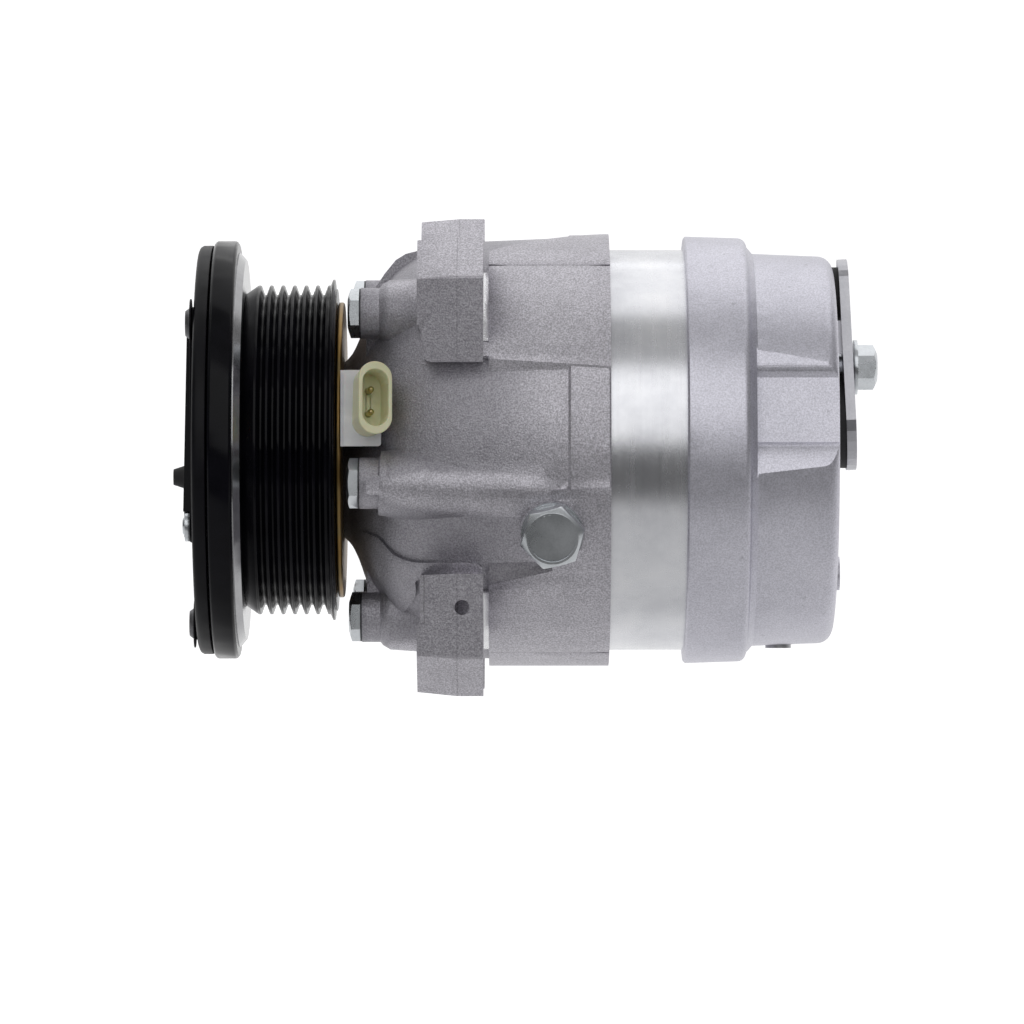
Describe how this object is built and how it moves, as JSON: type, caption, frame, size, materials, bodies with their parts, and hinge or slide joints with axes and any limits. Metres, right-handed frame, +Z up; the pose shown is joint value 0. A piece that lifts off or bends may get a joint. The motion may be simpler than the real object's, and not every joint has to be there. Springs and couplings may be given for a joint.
{
  "type": "automotive air conditioning compressor",
  "caption": "Belt-driven piston compressor with a magnetic clutch, ribbed pulley, eared aluminium housing and a tilting wobble plate inside.",
  "frame": {"origin": "On the shaft axis, in the plane of the four mounting ears' machined rear faces, at the centre of the ear hole pattern.", "axes": "+X along the shaft from the clutch to the rear head, +Z up, +Y away from the side that carries the coil connector and the drain plug."},
  "size_m": [0.2156, 0.1406, 0.1474],
  "materials": {
    "cast_aluminium": "sand-blasted die casting",
    "machined_aluminium": "turned and polished",
    "steel_bright": "ground",
    "steel_dark": "hardened, dark",
    "zinc_steel": "clear zinc plated",
    "washer_dark": "dark bonded washer",
    "yellow_zinc": "yellow zinc plated",
    "winding": "potted winding",
    "gloss_black": "gloss black paint",
    "black_oxide": "satin black",
    "rubber_black": "matt",
    "connector_green": "pale yellow-green moulding",
    "base_grey": "light grey moulding",
    "brass_pin": "tinned brass"
  },
  "bodies": {
    "housing": {"front_head": "cast_aluminium", "cylinder_block": "machined_aluminium", "rear_head": "cast_aluminium", "valve_plate": "steel_bright", "suction_reed_plate": "steel_bright", "discharge_reeds": "steel_bright", "head_gasket": "rubber_black", "housing_o_rings": "rubber_black", "control_valve_body": "steel_bright", "relief_valve_body": "steel_bright", "through_bolts": "zinc_steel", "bolt_washers": "washer_dark", "drain_plug": "zinc_steel", "drain_plug_washer": "zinc_steel", "bearing_inner_ring": "steel_bright", "coil_housing": "yellow_zinc", "coil_winding": "winding", "snap_rings": "steel_dark", "shaft_seal": "rubber_black", "coil_connector": "connector_green", "connector_pins": "brass_pin", "connector_base": "base_grey", "needle_bearings": "steel_bright", "thrust_bearings": "steel_bright", "guide_rod": "steel_bright", "guide_slider": "steel_bright", "port_cover_plate": "zinc_steel", "port_seals": "rubber_black", "port_cover_bolt": "zinc_steel"},
    "pulley": {"friction_flange": "gloss_black", "rotor_step_ring": "zinc_steel", "belt_ring": "gloss_black", "bearing_outer_ring": "steel_bright", "bearing_balls": "steel_bright"},
    "drive_shaft": {"drive_shaft": "steel_bright", "drive_lug": "steel_dark", "guide_pin": "steel_bright", "hinge_ball": "steel_bright", "clutch_hub": "black_oxide", "hub_rivets": "zinc_steel", "hub_button": "rubber_black", "shaft_nut": "zinc_steel"},
    "armature": {"armature_plate": "black_oxide", "armature_rivets": "zinc_steel", "leaf_straps": "black_oxide"},
    "wobble_plate": {"wobble_plate": "steel_dark"},
    "journal": {"journal": "steel_dark", "journal_bearing": "steel_bright", "journal_ring": "steel_bright"},
    "control_plunger": {"control_valve_plunger": "steel_bright"},
    "piston_1": {"piston_1": "machined_aluminium", "piston_rod_1": "steel_bright"},
    "piston_2": {"piston_2": "machined_aluminium", "piston_rod_2": "steel_bright"},
    "piston_3": {"piston_3": "machined_aluminium", "piston_rod_3": "steel_bright"},
    "piston_4": {"piston_4": "machined_aluminium", "piston_rod_4": "steel_bright"},
    "piston_5": {"piston_5": "machined_aluminium", "piston_rod_5": "steel_bright"}
  },
  "joints": [
    {"name": "pulley_spin", "type": "hinge", "parent": "housing", "child": "pulley", "pos_m": [-0.064, 0, 0], "axis": [1, 0, 0], "continuous": true},
    {"name": "shaft_spin", "type": "hinge", "parent": "housing", "child": "drive_shaft", "pos_m": [0, 0, 0], "axis": [1, 0, 0], "continuous": true},
    {"name": "armature_pull", "type": "slide", "parent": "drive_shaft", "child": "armature", "axis": [1, 0, 0], "range_m": [0, 0.0005], "stiffness_N_per_m": 20000},
    {"name": "wobble_tilt", "type": "hinge", "parent": "housing", "child": "wobble_plate", "pos_m": [0.012, 0, 0], "axis": [0, 1, 0], "range_deg": [0, 20], "stiffness_Nm_per_rad": 2},
    {"name": "journal_spin", "type": "hinge", "parent": "wobble_plate", "child": "journal", "pos_m": [0.012, 0, 0], "axis": [1, 0, 0], "continuous": true},
    {"name": "control_valve_stroke", "type": "slide", "parent": "housing", "child": "control_plunger", "axis": [0, 1, 0], "range_m": [0, 0.0015], "stiffness_N_per_m": 1500},
    {"name": "piston_slide_1", "type": "slide", "parent": "housing", "child": "piston_1", "axis": [1, 0, 0], "range_m": [-0.0125, 0.0125]},
    {"name": "piston_slide_2", "type": "slide", "parent": "housing", "child": "piston_2", "axis": [1, 0, 0], "range_m": [-0.0125, 0.0125]},
    {"name": "piston_slide_3", "type": "slide", "parent": "housing", "child": "piston_3", "axis": [1, 0, 0], "range_m": [-0.0125, 0.0125]},
    {"name": "piston_slide_4", "type": "slide", "parent": "housing", "child": "piston_4", "axis": [1, 0, 0], "range_m": [-0.0125, 0.0125]},
    {"name": "piston_slide_5", "type": "slide", "parent": "housing", "child": "piston_5", "axis": [1, 0, 0], "range_m": [-0.0125, 0.0125]}
  ],
  "couplings": [
    {"joint": "journal_spin", "follows": "shaft_spin", "ratio": 1},
    {"joint": "piston_slide_1", "follows": "wobble_tilt", "m_per_rad": 0.033475},
    {"joint": "piston_slide_2", "follows": "wobble_tilt", "m_per_rad": 0.010344},
    {"joint": "piston_slide_3", "follows": "wobble_tilt", "m_per_rad": -0.027082},
    {"joint": "piston_slide_4", "follows": "wobble_tilt", "m_per_rad": -0.027082},
    {"joint": "piston_slide_5", "follows": "wobble_tilt", "m_per_rad": 0.010344}
  ]
}
